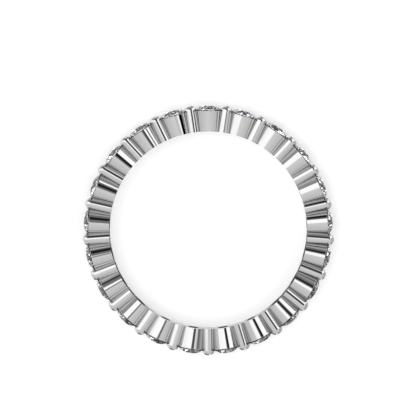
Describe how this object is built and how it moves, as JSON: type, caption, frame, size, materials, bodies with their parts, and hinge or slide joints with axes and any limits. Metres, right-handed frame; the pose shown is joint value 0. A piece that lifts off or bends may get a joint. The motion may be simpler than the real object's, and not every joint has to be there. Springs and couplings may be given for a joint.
{
  "type": "eternity ring",
  "caption": "Full eternity ring: round brilliants in tapered round cups all the way round, with domed posts between them, on a plain round finger hole.",
  "frame": {"origin": "centre of the ring at the bottom of its box: the ring lies on its side on the XY plane", "axes": "+Z along the axis of the finger hole, +Y towards stone_01, +X to the right when the ring is seen from +Z with +Y up"},
  "size_m": [0.022, 0.0219, 0.0023],
  "materials": {
    "white_gold": "mirror polish, rhodium plated",
    "diamond": "polished facets, colourless"
  },
  "bodies": {
    "root": {"setting": "white_gold", "stone_01": "diamond", "stone_02": "diamond", "stone_03": "diamond", "stone_04": "diamond", "stone_05": "diamond", "stone_06": "diamond", "stone_07": "diamond", "stone_08": "diamond", "stone_09": "diamond", "stone_10": "diamond", "stone_11": "diamond", "stone_12": "diamond", "stone_13": "diamond", "stone_14": "diamond", "stone_15": "diamond", "stone_16": "diamond", "stone_17": "diamond", "stone_18": "diamond", "stone_19": "diamond", "stone_20": "diamond", "stone_21": "diamond"}
  },
  "joints": []
}
